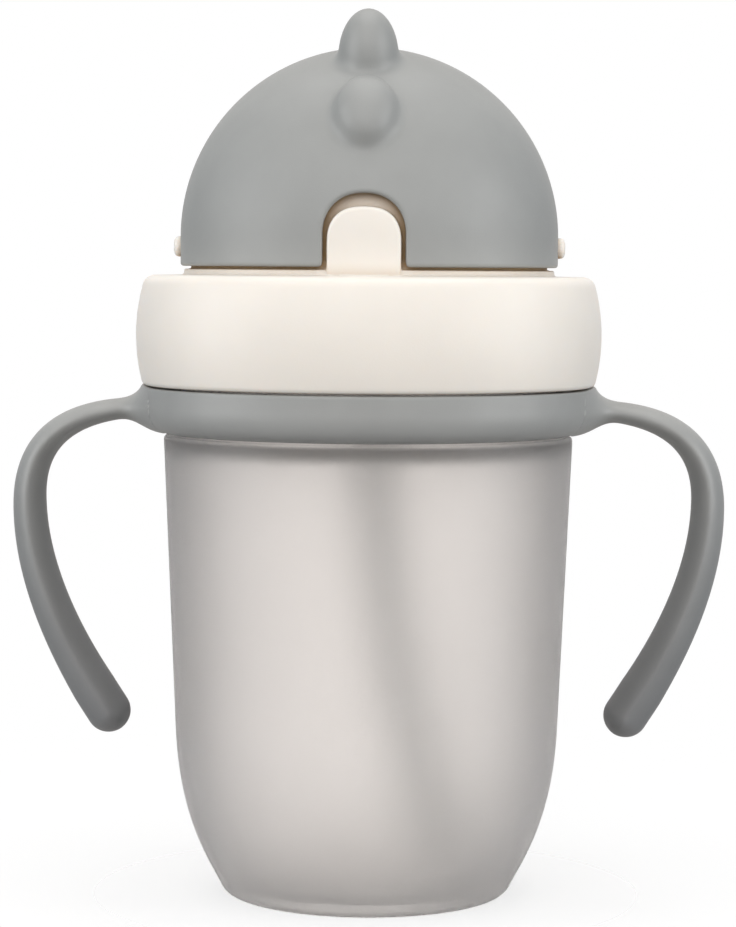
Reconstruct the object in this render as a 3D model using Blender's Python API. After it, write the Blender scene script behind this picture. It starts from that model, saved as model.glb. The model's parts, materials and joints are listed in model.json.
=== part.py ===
"""Toddler's straw cup: frosted cup, two-handle ring, screw lid, flip-back cover and folding mouthpiece.

Lengths are in metres, +Z is up and the origin is the centre of the foot. The latch tab at the front faces -Y,
and the handles lie along X. The cover turns on two studs of the lid.
"""

import math

import bmesh
import bpy
from mathutils import Matrix, Vector

MM = 0.001
SIDES = 40  # facets round a turned piece
GAP = 0.3 * MM  # left between pieces that touch

# Cup
WALL = 1.6 * MM
FOOT_R = 24.2 * MM
FOOT_ROUND = 3.0 * MM
FOOT_RECESS_R = 18.0 * MM
FOOT_RECESS = 1.0 * MM
FOOT_ROUND_SWEEP = -27, -90  # degrees of the foot's round that show
BASE_R, BASE_Z = 26.87 * MM, 1.64 * MM  # where the side runs into that round
BASE_PULL = 2.6 * MM, 5.2 * MM  # how far out and up the side leaves it
BODY_LOW_R, BODY_LOW_Z = 35.4 * MM, 31.2 * MM  # where the straight taper starts
TAPER_PULL = 17.3 * MM  # how far the side keeps its taper below that
FLOOR_R, FLOOR_PULL_R = 21.0 * MM, 28.0 * MM  # flat of the inner floor, and how its round starts
INNER_PULL_Z = 16.2 * MM
SHOULDER_R, SHOULDER_Z = 37.65 * MM, 85.0 * MM
NECK_R, NECK_BORE_R = 34.6 * MM, 33.0 * MM
NECK_SEAT_R, NECK_SEAT_Z = 35.8 * MM, 88.2 * MM  # thicker root that centres the handle ring
RIM_Z = 109.9 * MM

# Screw thread, drawn with clearance across it so that the lid can lift straight off
THREAD_PITCH = 5.0 * MM
THREAD_TURNS = 1.5
THREAD_STATIONS = 20  # per turn
THREAD_START = math.radians(3.2)  # keeps its stations off the facets of the turned wall
THREAD_ROOT, THREAD_CREST = 3.0 * MM, 1.2 * MM
THREAD_SINK = 0.2 * MM  # how far its root reaches into the wall
CUP_THREAD_HEIGHT, LID_THREAD_HEIGHT = 1.2 * MM, 0.9 * MM
CUP_THREAD_Z = 94.7 * MM
LID_THREAD_Z = 97.2 * MM

# Handle ring
RING_R, RING_BORE_R, RING_WALL = 41.3 * MM, 36.2 * MM, 2.6 * MM
RING_LOW_Z, RING_TOP_Z = SHOULDER_Z + GAP, 93.8 * MM
RING_FLOOR = 2.2 * MM
GRIP_ROOT_X, GRIP_ROOT_Z = 39.6 * MM, 89.85 * MM
GRIP_BEND_X, GRIP_BEND_Z = 62.7 * MM, 72.6 * MM
GRIP_TIP_X, GRIP_TIP_Z = 48.05 * MM, 33.3 * MM
GRIP_TIP_LEAN = math.radians(32.5)
GRIP_ROOT_THICK, GRIP_BEND_THICK, GRIP_TIP_THICK = 3.6 * MM, 6.1 * MM, 8.25 * MM
GRIP_DEPTH = 12.5 * MM
GRIP_ROOT_PULL, GRIP_BEND_PULL = 13.0 * MM, 13.4 * MM  # Bezier handles of its centre line
GRIP_LOWER_PULL, GRIP_TIP_PULL = 17.8 * MM, 6.0 * MM
GRIP_FLARE, GRIP_FLARE_REACH = 0.9, 2.6 * MM  # how much thicker it is at the ring, and how soon that fades
GRIP_TAPER = 0.22  # how much fuller its outer side is
# Rounds past the tip: distance, share of the size
GRIP_END = ((1.6 * MM, 0.92), (2.9 * MM, 0.71), (3.8 * MM, 0.4), (4.1 * MM, 0.12))

# Lid
LID_LOW_Z, LID_SHOULDER_Z = 94.1 * MM, 114.1 * MM
STEP_R, STEP_Z = 34.0 * MM, 115.4 * MM  # low step under the cover's rim
COLLAR_R, COLLAR_MID_Z, COLLAR_BULGE_R = 42.8 * MM, 103.4 * MM, 35.0 * MM
COLLAR_WALL = 2.5 * MM
COLLAR_TOP_ANGLE = 13.5  # degrees at which the bulge ends and the shoulder's round starts
SHOULDER_FLAT_R = 40.2 * MM
GROOVE_DEPTH_Z = 3.0 * MM  # height of the slope at the groove's closed end
SKIRT_R, SKIRT_BORE_R, SKIRT_LOW_Z = 39.2 * MM, 37.4 * MM, 95.2 * MM
DECK_UNDER_Z = 112.6 * MM
LIP_R, LIP_BORE_R, LIP_LOW_Z = 32.6 * MM, 31.0 * MM, 108.2 * MM
PLATEAU_R, PLATEAU_Z, PLATEAU_THICK = 32.6 * MM, 117.0 * MM, 2.0 * MM

# Cover and its pivot
PIVOT_Z = 119.5 * MM
STUD_R, STUD_REACH = 1.9 * MM, 35.97 * MM
DOME_R, DOME_Z, DOME_WALL = 34.67 * MM, 121.3 * MM, 1.6 * MM
COVER_LOW_Z = 115.9 * MM
COVER_REAR_LEAN = math.radians(4)  # the cover ends this far behind the plane above the pivot
LOBE_R = PIVOT_Z - COVER_LOW_Z + 0.2 * MM  # round end of the cover's side around the stud
NOTCH_HALF, NOTCH_TOP_Z = 7.2 * MM, 128.7 * MM
SHELL_R, SHELL_WALL = 32.6 * MM, 1.6 * MM
SHELL_FRONT_LEAN = math.radians(-4)
EAR_R = 5.5 * MM
TAB_HALF, TAB_TOP_Z, TAB_WALL = 6.5 * MM, 126.4 * MM, 2.9 * MM
TAB_LOW_Z = LID_SHOULDER_Z - 0.3 * MM
TAB_INSET = 0.2 * MM  # its face lies this far inside the cover's
TONGUE_HALF, TONGUE_TOP_Z = 9.5 * MM, 131.0 * MM  # wider wall that carries the tab, just inside the cover
TONGUE_R, TONGUE_WALL = 32.1 * MM, 1.6 * MM

# Crest of two eggs on the cover: elevation in degrees, sizes across, along and out
CREST = (
    ("crest_upper", 68, (5.4 * MM, 7.5 * MM, 8.7 * MM)),
    ("crest_lower", 39, (5.5 * MM, 7.3 * MM, 4.6 * MM)),
)

# Mouthpiece, straw and valve
PORT_Y = 2.0 * MM
PORT_BOSS_R, PORT_BOSS_Z = 7.5 * MM, 118.5 * MM
PORT_SOCKET_R, PORT_FLOOR_Z = 5.2 * MM, 114.8 * MM
HUB_LOW_Z = 113.0 * MM
SPIGOT_R, SPIGOT_BORE_R, SPIGOT_LOW_Z = 2.3 * MM, 1.4 * MM, 101.2 * MM
FLANGE_R, FLANGE_THICK = 6.9 * MM, 1.2 * MM
FOLD_Z, FOLD_R = 124.2 * MM, 3.2 * MM
SIP_BORE_R, SIP_BORE_HIGH = 1.5 * MM, 1.1 * MM
TIP_REST = math.radians(5)  # elevation of the folded tip
TIP_SECTIONS = (  # distance from the fold, half width, half height
    (FOLD_R + GAP, 3.3 * MM, 3.1 * MM),
    (9.0 * MM, 3.1 * MM, 2.9 * MM),
    (16.0 * MM, 3.8 * MM, 2.9 * MM),
    (21.5 * MM, 5.2 * MM, 3.2 * MM),
    (26.5 * MM, 5.4 * MM, 3.0 * MM),
    (28.3 * MM, 4.6 * MM, 2.4 * MM),
    (29.0 * MM, 3.4 * MM, 1.6 * MM),
)
TUBE_R, TUBE_BORE_R, TUBE_TOP_Z = 3.8 * MM, 2.6 * MM, 109.2 * MM
TUBE_ROUTE = (  # Bezier points below its straight top
    (0, PORT_Y, 100 * MM),
    (1.0 * MM, PORT_Y, 65 * MM),
    (6.5 * MM, 5.0 * MM, 27 * MM),
    (15.0 * MM, 12.0 * MM, 7 * MM),
)
VENT_Y, VENT_HOLE_R = 16.0 * MM, 1.8 * MM
VALVE_R, VALVE_BULB_R, VALVE_BULB_LENGTH, VALVE_HIGH = 3.6 * MM, 2.4 * MM, 2.6 * MM, 1.4 * MM
REACH = 60 * MM  # half length of a cutter that runs right through


def clear_scene():
    for obj in list(bpy.data.objects):
        bpy.data.objects.remove(obj, do_unlink=True)


def material(name, colour, roughness):
    made = bpy.data.materials.new(name)
    made.use_nodes = True
    shader = made.node_tree.nodes["Principled BSDF"]
    shader.inputs["Base Color"].default_value = (*colour, 1.0)
    shader.inputs["Roughness"].default_value = roughness
    shader.inputs["Metallic"].default_value = 0.0
    return made


def new_object(name, bm, look=None):
    """A smooth-shaded object from a bmesh whose faces are turned outwards."""
    bmesh.ops.remove_doubles(bm, verts=bm.verts[:], dist=1e-6)
    bmesh.ops.recalc_face_normals(bm, faces=bm.faces[:])
    mesh = bpy.data.meshes.new(name)
    bm.to_mesh(mesh)
    bm.free()
    mesh.shade_smooth()
    mesh.set_sharp_from_angle(angle=math.radians(35))
    obj = bpy.data.objects.new(name, mesh)
    bpy.context.scene.collection.objects.link(obj)
    if look:
        mesh.materials.append(look)
    return obj


def combine(obj, tool, operation):
    """Adds a Boolean of a hidden tool to an object."""
    tool.hide_render = True
    tool.display_type = "WIRE"
    modifier = obj.modifiers.new(tool.name, "BOOLEAN")
    modifier.operation = operation
    modifier.object = tool


def arc(centre, radius, start, end, steps):
    """Points on an arc in the (r, z) plane, angles in degrees from +r."""
    angles = [math.radians(start + (end - start) * i / steps) for i in range(steps + 1)]
    return [(centre[0] + radius * math.cos(a), centre[1] + radius * math.sin(a)) for a in angles]


def curve(p0, p1, p2, p3, steps):
    """Points on a cubic Bezier curve."""
    points = []
    for i in range(steps + 1):
        t = i / steps
        weights = ((1 - t) ** 3, 3 * (1 - t) ** 2 * t, 3 * (1 - t) * t * t, t**3)
        points.append(sum((Vector(p) * w for p, w in zip((p0, p1, p2, p3), weights)), Vector(p0) * 0))
    return points


def turned(name, outline, look=None, sides=SIDES, centre=(0, 0, 0), axis="Z", turn=0):
    """A solid of revolution from an outline of (r, z) points, which may start and end on the axis.

    turn, in degrees, keeps a Boolean tool's facet edges off those of the piece it meets.
    """
    bm = bmesh.new()
    verts = [bm.verts.new((r, 0, z)) for r, z in outline]
    for a, b in zip(verts, verts[1:]):
        bm.edges.new((a, b))
    if outline[0][0] > 0:
        bm.edges.new((verts[-1], verts[0]))
    bmesh.ops.spin(
        bm,
        geom=bm.verts[:] + bm.edges[:],
        cent=(0, 0, 0),
        axis=(0, 0, 1),
        angle=2 * math.pi,
        steps=sides,
        use_merge=True,
    )
    offset = Matrix.Rotation(math.radians(turn), 3, "Z")
    bmesh.ops.rotate(bm, verts=bm.verts[:], cent=(0, 0, 0), matrix=offset)
    if axis == "X":
        bmesh.ops.rotate(bm, verts=bm.verts[:], cent=(0, 0, 0), matrix=Matrix.Rotation(math.pi / 2, 3, "Y"))
    bmesh.ops.translate(bm, verts=bm.verts[:], vec=centre)
    return new_object(name, bm, look)


def skin(name, rings, look=None, bore=None):
    """A solid through rings of points. With bore, a second set of rings inside makes it a tube."""
    bm = bmesh.new()

    def wall(loops):
        made = [[bm.verts.new(p) for p in loop] for loop in loops]
        for low, high in zip(made, made[1:]):
            for i in range(len(low)):
                j = (i + 1) % len(low)
                bm.faces.new((low[i], low[j], high[j], high[i]))
        return made

    outer = wall(rings)
    inner = wall(bore) if bore else None
    for end in (0, -1):
        if inner:
            for i in range(len(outer[end])):
                j = (i + 1) % len(outer[end])
                bm.faces.new((outer[end][i], outer[end][j], inner[end][j], inner[end][i]))
        else:
            bm.faces.new(outer[end])
    return new_object(name, bm, look)


def block(name, low, high):
    bm = bmesh.new()
    bmesh.ops.create_cube(bm, size=1)
    size = Vector(high) - Vector(low)
    bmesh.ops.scale(bm, verts=bm.verts[:], vec=size)
    bmesh.ops.translate(bm, verts=bm.verts[:], vec=(Vector(low) + Vector(high)) / 2)
    return new_object(name, bm)


def thread(name, root_r, crest_r, start_z):
    """A helical ridge that fades out at both ends, from root_r to crest_r."""
    steps = round(THREAD_TURNS * THREAD_STATIONS)
    rings = []
    for i in range(steps + 1):
        turn = THREAD_TURNS * i / steps
        angle = 2 * math.pi * turn + THREAD_START
        z = start_z + THREAD_PITCH * turn
        fade = min(1.0, 0.15 + 6 * turn, 0.15 + 6 * (THREAD_TURNS - turn))
        section = (
            (root_r, -THREAD_ROOT / 2),
            (root_r + (crest_r - root_r) * fade, -THREAD_CREST / 2),
            (root_r + (crest_r - root_r) * fade, THREAD_CREST / 2),
            (root_r, THREAD_ROOT / 2),
        )
        rings.append([(r * math.cos(angle), r * math.sin(angle), z + dz) for r, dz in section])
    return skin(name, rings)


def make_cup(look):
    taper = (SHOULDER_R - BODY_LOW_R) / (SHOULDER_Z - BODY_LOW_Z)
    side = curve(
        (BODY_LOW_R, BODY_LOW_Z),
        (BODY_LOW_R - TAPER_PULL * taper, BODY_LOW_Z - TAPER_PULL),
        (BASE_R + BASE_PULL[0], BASE_Z + BASE_PULL[1]),
        (BASE_R, BASE_Z),
        7,
    )
    foot = arc((FOOT_R, FOOT_ROUND), FOOT_ROUND, *FOOT_ROUND_SWEEP, 3)
    outer = [(SHOULDER_R, SHOULDER_Z - 0.5 * MM)] + [tuple(p) for p in side] + foot[1:]
    inside = curve(
        (FLOOR_R, FOOT_RECESS + WALL),
        (FLOOR_PULL_R, FOOT_RECESS + WALL),
        (BODY_LOW_R - WALL - 0.6 * MM, INNER_PULL_Z),
        (BODY_LOW_R - WALL, BODY_LOW_Z),
        5,
    )
    outline = (
        [(0, FOOT_RECESS), (FOOT_RECESS_R - FOOT_RECESS, FOOT_RECESS), (FOOT_RECESS_R, 0)]
        + outer[::-1]
        + [(SHOULDER_R - 0.5 * MM, SHOULDER_Z), (NECK_SEAT_R, SHOULDER_Z)]
        + [(NECK_SEAT_R, NECK_SEAT_Z), (NECK_R, NECK_SEAT_Z + 1.2 * MM)]
        + arc((NECK_R - WALL / 2, RIM_Z - WALL / 2), WALL / 2, 0, 180, 3)
        + [(NECK_BORE_R, SHOULDER_Z + 2.0 * MM), (SHOULDER_R - WALL, SHOULDER_Z - 3.0 * MM)]
        + [tuple(p) for p in inside[::-1]]
        + [(0, FOOT_RECESS + WALL)]
    )
    cup = turned("cup", outline, look)
    ridge = thread("cup_thread", NECK_R - THREAD_SINK, NECK_R + CUP_THREAD_HEIGHT, CUP_THREAD_Z)
    combine(cup, ridge, "UNION")


def grip_stations():
    """Centre, outward direction and half sizes of the right grip's sections, from the ring to its end."""
    lean = Vector((math.sin(GRIP_TIP_LEAN), math.cos(GRIP_TIP_LEAN)))
    tip = Vector((GRIP_TIP_X, GRIP_TIP_Z))
    bend = Vector((GRIP_BEND_X, GRIP_BEND_Z))
    upper = curve(
        (GRIP_ROOT_X, GRIP_ROOT_Z),
        (GRIP_ROOT_X + GRIP_ROOT_PULL, GRIP_ROOT_Z),
        bend + Vector((0, GRIP_BEND_PULL)),
        bend,
        10,
    )
    lower = curve(bend, bend - Vector((0, GRIP_LOWER_PULL)), tip + lean * GRIP_TIP_PULL, tip, 10)
    path = upper + lower[1:]
    stations = []
    for i, centre in enumerate(path):
        along = (path[min(i + 1, len(path) - 1)] - path[max(i - 1, 0)]).normalized()
        share = i / (len(path) - 1)
        if share < 0.5:
            thick = GRIP_ROOT_THICK + (GRIP_BEND_THICK - GRIP_ROOT_THICK) * (share / 0.5) ** 1.2
        else:
            thick = GRIP_BEND_THICK + (GRIP_TIP_THICK - GRIP_BEND_THICK) * min(1, (share - 0.5) / 0.4)
        thick *= 1 + GRIP_FLARE * math.exp(-(((centre.x - RING_R) / GRIP_FLARE_REACH) ** 2))
        stations.append((centre, Vector((-along.y, along.x)), thick / 2, GRIP_DEPTH / 2))
    centre, out, half, depth = stations[-1]
    for ahead, shrink in GRIP_END:
        stations.append((centre - lean * ahead, out, half * shrink, depth * shrink))
    return stations


def make_handle_ring(look):
    corner = curve(
        (RING_R, RING_TOP_Z - 3.2 * MM),
        (RING_R, RING_LOW_Z + 2.0 * MM),
        (RING_R - 1.6 * MM, RING_LOW_Z),
        (SHOULDER_R + 0.4 * MM, RING_LOW_Z),
        5,
    )
    outline = (
        [(RING_R - RING_WALL, RING_TOP_Z), (RING_R - 0.3 * MM, RING_TOP_Z), (RING_R, RING_TOP_Z - 0.3 * MM)]
        + [tuple(p) for p in corner]
        + [(RING_BORE_R, RING_LOW_Z), (RING_BORE_R, RING_LOW_Z + RING_FLOOR)]
        + [(RING_R - RING_WALL, RING_LOW_Z + RING_FLOOR)]
    )
    ring = turned("handle_ring", outline, look)
    for name, side in (("right_grip", 1), ("left_grip", -1)):
        rings = []
        for centre, out, half, depth in grip_stations():
            loop = []
            for k in range(12):
                a = 2 * math.pi * k / 12
                p = centre - out * (half * math.cos(a))
                y = depth * math.sin(a) * (1 + GRIP_TAPER * math.cos(a))
                loop.append((side * p.x, y, p.y))
            rings.append(loop)
        combine(ring, skin(name, rings), "UNION")


def make_rear_shell():
    """The fixed half shell behind the cover, with round ears that carry the studs."""
    steps = 9
    low = math.degrees(math.asin((PLATEAU_Z - 0.9 * MM - PIVOT_Z) / SHELL_R))
    inner_r = SHELL_R - SHELL_WALL
    outline = [(0, SHELL_R)] + arc((0, 0), SHELL_R, 90, low, steps)[1:]
    outline += arc((0, 0), inner_r, low, 90, steps)[:-1] + [(0, inner_r)]
    shell = turned("rear_shell", outline, centre=(0, 0, PIVOT_Z), turn=2.6)
    front = block("shell_front_cut", (-REACH, -REACH, -REACH), (REACH, 0, REACH))
    front.rotation_euler = (-SHELL_FRONT_LEAN, 0, 0)
    front.location = (0, 0, PIVOT_Z)
    ear_end = REACH + 2 * MM
    ear_outline = [(0, -ear_end), (EAR_R, -ear_end), (EAR_R, ear_end), (0, ear_end)]
    ear = turned("shell_ears", ear_outline, sides=24, axis="X", turn=3)
    ear.location = (0, 0, PIVOT_Z)
    half = EAR_R - 0.5 * MM
    foot = block("shell_ear_feet", (-REACH - MM, -half, -20 * MM), (REACH + MM, half, 0))
    foot.location = (0, 0, PIVOT_Z)
    combine(front, ear, "DIFFERENCE")
    combine(front, foot, "DIFFERENCE")
    combine(shell, front, "DIFFERENCE")
    return shell


def arch(name, half, low, top):
    """An upright prism with a round top, half wide on each side, that runs through the front's walls."""
    outline = [(-half, low), (half, low)] + arc((0, top - half), half, 0, 180, 12)
    bm = bmesh.new()
    face = bm.faces.new([bm.verts.new((x, -REACH, z)) for x, z in outline])
    made = bmesh.ops.extrude_face_region(bm, geom=[face])
    moved = [v for v in made["geom"] if isinstance(v, bmesh.types.BMVert)]
    bmesh.ops.translate(bm, verts=moved, vec=(0, REACH - 20 * MM, 0))
    return new_object(name, bm)


def make_upright(name, outer, wall, half, low, top, turn):
    """An arch cut out of a ring that follows the inside or the outside of the cover."""
    inner = outer - wall
    outline = [(inner, low), (outer, low)]
    outline += arc((0, DOME_Z), outer, 0, 20, 4) + arc((0, DOME_Z), inner, 20, 0, 4)
    upright = turned(name, outline, sides=96, turn=turn)
    combine(upright, arch(name + "_arch", half, low - 2 * MM, top), "INTERSECT")
    return upright


def make_lid(look):
    bulge_x = COLLAR_R - COLLAR_BULGE_R
    low_angle = math.degrees(math.asin((LID_LOW_Z - COLLAR_MID_Z) / COLLAR_BULGE_R))
    barrel = arc((bulge_x, COLLAR_MID_Z), COLLAR_BULGE_R, low_angle, COLLAR_TOP_ANGLE, 6)
    corner = curve(
        barrel[-1],
        (barrel[-1][0] - 0.3 * MM, barrel[-1][1] + 1.3 * MM),
        (SHOULDER_FLAT_R + 1.3 * MM, LID_SHOULDER_Z - 0.1 * MM),
        (SHOULDER_FLAT_R, LID_SHOULDER_Z),
        3,
    )
    groove_r = COLLAR_R - COLLAR_WALL
    outline = (
        [(0, PLATEAU_Z - PLATEAU_THICK), (LIP_BORE_R, PLATEAU_Z - PLATEAU_THICK)]
        + [(LIP_BORE_R, LIP_LOW_Z), (LIP_R, LIP_LOW_Z + 0.6 * MM), (LIP_R, DECK_UNDER_Z)]
        + [(SKIRT_BORE_R, DECK_UNDER_Z), (SKIRT_BORE_R, SKIRT_LOW_Z), (SKIRT_R, SKIRT_LOW_Z)]
        + [(SKIRT_R, DECK_UNDER_Z - 1.0 * MM), (groove_r - 0.6 * MM, DECK_UNDER_Z - 1.0 * MM)]
        + [(groove_r, DECK_UNDER_Z - 1.0 * MM - GROOVE_DEPTH_Z), (groove_r - 0.9 * MM, LID_LOW_Z)]
        + barrel
        + [tuple(p) for p in corner[1:]]
        + [(STEP_R + 0.3 * MM, LID_SHOULDER_Z + 0.3 * MM), (STEP_R, STEP_Z), (PLATEAU_R, STEP_Z)]
        + [(PLATEAU_R, PLATEAU_Z), (0, PLATEAU_Z)]
    )
    lid = turned("lid", outline, look)
    ridge = thread("lid_thread", SKIRT_BORE_R + THREAD_SINK, SKIRT_BORE_R - LID_THREAD_HEIGHT, LID_THREAD_Z)
    combine(lid, ridge, "UNION")
    combine(lid, make_rear_shell(), "UNION")
    tongue_low = PLATEAU_Z - 0.6 * MM
    tongue = make_upright("tongue", TONGUE_R, TONGUE_WALL, TONGUE_HALF, tongue_low, TONGUE_TOP_Z, 2.7)
    combine(lid, tongue, "UNION")
    tab = make_upright("tab", DOME_R - TAB_INSET, TAB_WALL, TAB_HALF, TAB_LOW_Z, TAB_TOP_Z, 1.3)
    combine(lid, tab, "UNION")
    stud_root = SHELL_R - 1.0 * MM
    stud = [(0, -STUD_REACH), (STUD_R - 0.5 * MM, -STUD_REACH), (STUD_R, 0.5 * MM - STUD_REACH)]
    stud += [(STUD_R, -stud_root), (0, -stud_root)]
    for name, flip in (("right_stud", -1), ("left_stud", 1)):
        outline = [(r, flip * z) for r, z in stud]
        combine(lid, turned(name, outline, sides=20, centre=(0, 0, PIVOT_Z), axis="X", turn=5), "UNION")
    hub_r = PORT_BOSS_R - 0.5 * MM
    hub = [(0, SPIGOT_LOW_Z), (SPIGOT_R - 0.3 * MM, SPIGOT_LOW_Z), (SPIGOT_R, SPIGOT_LOW_Z + 0.6 * MM)]
    step_z = (PLATEAU_Z - PLATEAU_THICK + PLATEAU_Z) / 2
    hub += [(SPIGOT_R, HUB_LOW_Z), (hub_r, HUB_LOW_Z), (hub_r, step_z), (PORT_BOSS_R, step_z)]
    hub += [(PORT_BOSS_R, PORT_BOSS_Z - 0.4 * MM), (PORT_BOSS_R - 0.4 * MM, PORT_BOSS_Z), (0, PORT_BOSS_Z)]
    combine(lid, turned("port_hub", hub, sides=24, centre=(0, PORT_Y, 0), turn=5), "UNION")
    low, high = SPIGOT_LOW_Z - MM, PORT_BOSS_Z + 2 * MM
    bore = [(0, low), (SPIGOT_BORE_R, low), (SPIGOT_BORE_R, PORT_FLOOR_Z)]
    bore += [(PORT_SOCKET_R, PORT_FLOOR_Z), (PORT_SOCKET_R, high), (0, high)]
    combine(lid, turned("port_bore", bore, sides=24, centre=(0, PORT_Y, 0), turn=11), "DIFFERENCE")
    low, high = PLATEAU_Z - PLATEAU_THICK - MM, PLATEAU_Z + MM
    vent = [(0, low), (VENT_HOLE_R, low), (VENT_HOLE_R, high), (0, high)]
    combine(lid, turned("vent_bore", vent, sides=16, centre=(0, VENT_Y, 0), turn=8), "DIFFERENCE")


def bump(name, elevation, sizes):
    """An egg of the crest, centred on the dome's surface. Its sizes are across, along and out."""
    bm = bmesh.new()
    bmesh.ops.create_uvsphere(bm, u_segments=16, v_segments=10, radius=1)
    bmesh.ops.scale(bm, verts=bm.verts[:], vec=sizes)
    turn = Matrix.Rotation(math.pi / 2 - elevation, 3, "X")
    bmesh.ops.rotate(bm, verts=bm.verts[:], cent=(0, 0, 0), matrix=turn)
    place = (0, -DOME_R * math.cos(elevation), DOME_Z + DOME_R * math.sin(elevation))
    bmesh.ops.translate(bm, verts=bm.verts[:], vec=place)
    egg = new_object(name, bm)
    # Cut off what would hang inside the dome, half way through its wall.
    mid_r = DOME_R - DOME_WALL / 2
    ball = [(0, mid_r)] + arc((0, 0), mid_r, 90, -90, 16)[1:-1] + [(0, -mid_r)]
    combine(egg, turned(name + "_trim", ball, centre=(0, 0, DOME_Z), turn=3.3), "DIFFERENCE")
    return egg


def make_flip_cover(look):
    inner_r = DOME_R - DOME_WALL
    outline = [(0, DOME_Z + DOME_R)] + arc((0, DOME_Z), DOME_R, 90, 0, 10)[1:]
    outline += [(DOME_R, COVER_LOW_Z + 0.4 * MM), (DOME_R - 0.4 * MM, COVER_LOW_Z), (inner_r, COVER_LOW_Z)]
    outline += arc((0, DOME_Z), inner_r, 0, 90, 10)[:-1] + [(0, DOME_Z + inner_r)]
    cover = turned("flip_cover", outline, look)
    for name, elevation, sizes in CREST:
        combine(cover, bump(name, math.radians(elevation), sizes), "UNION")
    rear = block("cover_rear_cut", (-REACH, 0, -REACH), (REACH, REACH, REACH))
    rear.rotation_euler = (-COVER_REAR_LEAN, 0, 0)
    rear.location = (0, 0, PIVOT_Z)
    lobe_end = REACH + 2 * MM
    lobe_outline = [(0, -lobe_end), (LOBE_R, -lobe_end), (LOBE_R, lobe_end), (0, lobe_end)]
    lobe = turned("cover_lobes", lobe_outline, sides=24, axis="X", turn=4)
    lobe.location = (0, 0, PIVOT_Z)
    combine(rear, lobe, "DIFFERENCE")
    combine(cover, rear, "DIFFERENCE")
    combine(cover, arch("cover_notch", NOTCH_HALF, COVER_LOW_Z - 2 * MM, NOTCH_TOP_Z), "DIFFERENCE")
    hole_r = STUD_R + GAP
    hole = [(0, -REACH), (hole_r, -REACH), (hole_r, REACH), (0, REACH)]
    holes = turned("stud_holes", hole, sides=20, axis="X", turn=5)
    holes.location = (0, 0, PIVOT_Z)
    combine(cover, holes, "DIFFERENCE")


def make_mouthpiece(look):
    """One silicone spout in two solids, a fixed base and a tip that folds forward over it."""
    flange_z = PORT_BOSS_Z + GAP
    plug_r = PORT_SOCKET_R - GAP
    flange_top = flange_z + FLANGE_THICK
    outline = (
        [(0, FOLD_Z - 1.2 * MM), (SIP_BORE_R, FOLD_Z - 1.6 * MM)]
        + [(SIP_BORE_R, PORT_FLOOR_Z + GAP), (plug_r, PORT_FLOOR_Z + GAP), (plug_r, flange_z)]
        + [(FLANGE_R, flange_z), (FLANGE_R, flange_top)]
        + [(FOLD_R + 0.5 * MM, flange_top + 0.2 * MM), (FOLD_R, flange_top + 1.0 * MM)]
        + arc((0, FOLD_Z), FOLD_R, 0, 90, 4)[:-1]
        + [(0, FOLD_Z + FOLD_R)]
    )
    turned("mouthpiece_base", outline, look, sides=20, centre=(0, PORT_Y, 0))
    forward = Vector((0, -math.cos(TIP_REST), math.sin(TIP_REST)))
    upward = Vector((0, math.sin(TIP_REST), math.cos(TIP_REST)))
    fold = Vector((0, PORT_Y, FOLD_Z))
    rings = []
    bores = []
    angles = [2 * math.pi * k / 16 for k in range(16)]
    for ahead, wide, high in TIP_SECTIONS:
        centre = fold + forward * ahead
        for loops, half_w, half_h in ((rings, wide, high), (bores, SIP_BORE_R, SIP_BORE_HIGH)):
            across = [Vector((half_w * math.cos(a), 0, 0)) for a in angles]
            loops.append([centre + x + upward * (half_h * math.sin(a)) for x, a in zip(across, angles)])
    tip = skin("mouthpiece_tip", rings, look, bores)
    tip.data.transform(Matrix.Translation(-fold))
    tip.location = fold


def make_straw_tube(look):
    path = [Vector((0, PORT_Y, TUBE_TOP_Z))] + curve(*TUBE_ROUTE, 14)
    outer = []
    inner = []
    angles = [2 * math.pi * k / 10 for k in range(10)]
    for i, centre in enumerate(path):
        along = (path[min(i + 1, len(path) - 1)] - path[max(i - 1, 0)]).normalized()
        across = Vector((0, 1, 0)).cross(along).normalized()
        other = along.cross(across)
        for loops, radius in ((outer, TUBE_R), (inner, TUBE_BORE_R)):
            loops.append([centre + (across * math.cos(a) + other * math.sin(a)) * radius for a in angles])
    skin("straw_tube", outer, look, inner)


def make_gasket(look):
    inner, outer = LIP_R + 0.35 * MM, SKIRT_BORE_R - 0.35 * MM
    low, top = RIM_Z + GAP, DECK_UNDER_Z - GAP
    outline = [(inner, low), (outer, low), (outer, top - 0.5 * MM), (outer - 0.5 * MM, top)]
    outline += [(inner + 0.5 * MM, top), (inner, top - 0.5 * MM)]
    turned("lid_gasket", outline, look)


def make_vent_valve(look):
    under = PLATEAU_Z - PLATEAU_THICK
    stem_r = VENT_HOLE_R - GAP
    low, high = under - VALVE_BULB_LENGTH, PLATEAU_Z + VALVE_HIGH
    outline = [(0, low), (VALVE_BULB_R / 2, low), (VALVE_BULB_R, under - GAP), (stem_r, under - GAP)]
    outline += [(stem_r, PLATEAU_Z + GAP), (VALVE_R, PLATEAU_Z + GAP), (VALVE_R - 0.2 * MM, high - 0.5 * MM)]
    outline += [(VALVE_R / 2, high), (0, high)]
    turned("vent_valve", outline, look, sides=16, centre=(0, VENT_Y, 0))


def main():
    clear_scene()
    cream = material("cream_plastic", (0.83, 0.79, 0.74), 0.45)
    grey = material("grey_plastic", (0.36, 0.38, 0.36), 0.45)
    frosted = material("frosted_plastic", (0.72, 0.72, 0.72), 0.5)
    silicone = material("clear_silicone", (0.85, 0.85, 0.84), 0.4)
    make_cup(frosted)
    make_handle_ring(grey)
    make_lid(cream)
    make_flip_cover(grey)
    make_mouthpiece(silicone)
    make_straw_tube(silicone)
    make_gasket(silicone)
    make_vent_valve(silicone)


main()
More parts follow.
